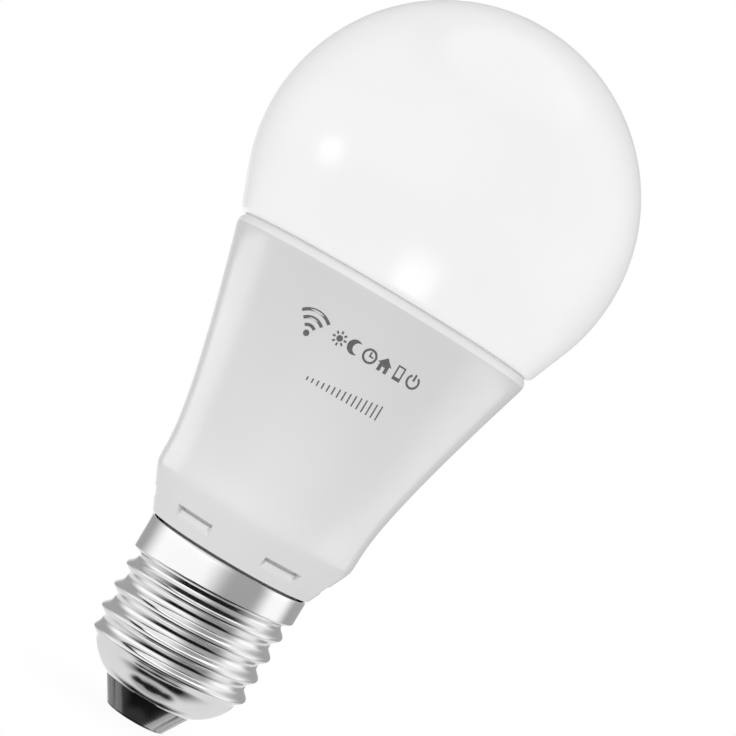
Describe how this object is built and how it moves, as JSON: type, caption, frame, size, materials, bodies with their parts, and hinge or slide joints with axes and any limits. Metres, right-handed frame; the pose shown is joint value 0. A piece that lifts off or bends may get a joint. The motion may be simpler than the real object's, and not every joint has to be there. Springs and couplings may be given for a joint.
{
  "type": "smart led light bulb",
  "caption": "Pear-shaped smart LED bulb: opal globe, white flared housing with a notched neck, and an E27 screw cap with a black glass insulator.",
  "frame": {"origin": "middle of the flat boss on the centre contact, the lowest point of the bulb", "axes": "+Z along the bulb's axis from the contact towards the top of the globe; -Y is the front, the side with the print"},
  "size_m": [0.06, 0.06, 0.1217],
  "materials": {
    "opal_diffuser": "opal, satin",
    "white_housing": "satin white plastic",
    "nickel_cap": "bright nickel plating on brass",
    "black_glass": "glossy black fused glass",
    "contact_metal": "tinned",
    "silicone": "cured sealant",
    "aluminium": "deep-drawn, bare",
    "thermal_pad": "soft grey-blue pad",
    "white_circuit_board": "white solder mask on aluminium core",
    "screw_steel": "zinc plated",
    "warm_led": "phosphor in a white frame",
    "cool_led": "phosphor in a white frame",
    "blue_circuit_board": "blue solder mask",
    "green_circuit_board": "green solder mask",
    "shield_metal": "tinned steel",
    "copper": "bare copper",
    "enamelled_copper": "enamelled copper wire",
    "black_moulding": "moulded epoxy",
    "ferrite": "sintered, matte",
    "yellow_tape": "polyester tape",
    "capacitor_sleeve": "shrunk sleeve",
    "film_capacitor_case": "moulded case",
    "resistor_coating": "cement coating",
    "varistor_coating": "epoxy coating",
    "red_insulation": "silicone insulation",
    "black_insulation": "silicone insulation",
    "brown_insulation": "silicone insulation",
    "blue_insulation": "silicone insulation"
  },
  "bodies": {
    "root": {"diffuser_globe": "opal_diffuser", "adhesive_bead": "silicone", "housing": "white_housing", "cap_shell": "nickel_cap", "cap_insulator": "black_glass", "centre_contact": "contact_metal", "heat_spreader": "aluminium", "thermal_pad": "thermal_pad", "led_board": "white_circuit_board", "board_screw_1": "screw_steel", "board_screw_2": "screw_steel", "warm_led_1": "warm_led", "cool_led_1": "cool_led", "warm_led_2": "warm_led", "cool_led_2": "cool_led", "warm_led_3": "warm_led", "cool_led_3": "cool_led", "warm_led_4": "warm_led", "cool_led_4": "cool_led", "warm_led_5": "warm_led", "cool_led_5": "cool_led", "warm_led_6": "warm_led", "cool_led_6": "cool_led", "warm_led_7": "warm_led", "cool_led_7": "cool_led", "warm_led_8": "warm_led", "cool_led_8": "cool_led", "led_wire_positive": "red_insulation", "led_wire_negative": "black_insulation", "radio_board": "blue_circuit_board", "radio_shield_can": "shield_metal", "radio_antenna": "copper", "radio_header": "black_moulding", "driver_board": "green_circuit_board", "bulk_capacitor": "capacitor_sleeve", "output_capacitor": "capacitor_sleeve", "inductor_core": "ferrite", "inductor_winding": "enamelled_copper", "transformer_core": "ferrite", "transformer_bobbin": "black_moulding", "transformer_winding": "yellow_tape", "bridge_rectifier": "black_moulding", "driver_controller": "black_moulding", "output_diode": "black_moulding", "radio_regulator": "black_moulding", "fuse_resistor": "resistor_coating", "varistor": "varistor_coating", "film_capacitor": "film_capacitor_case", "live_wire": "brown_insulation", "neutral_wire": "blue_insulation"}
  },
  "joints": []
}
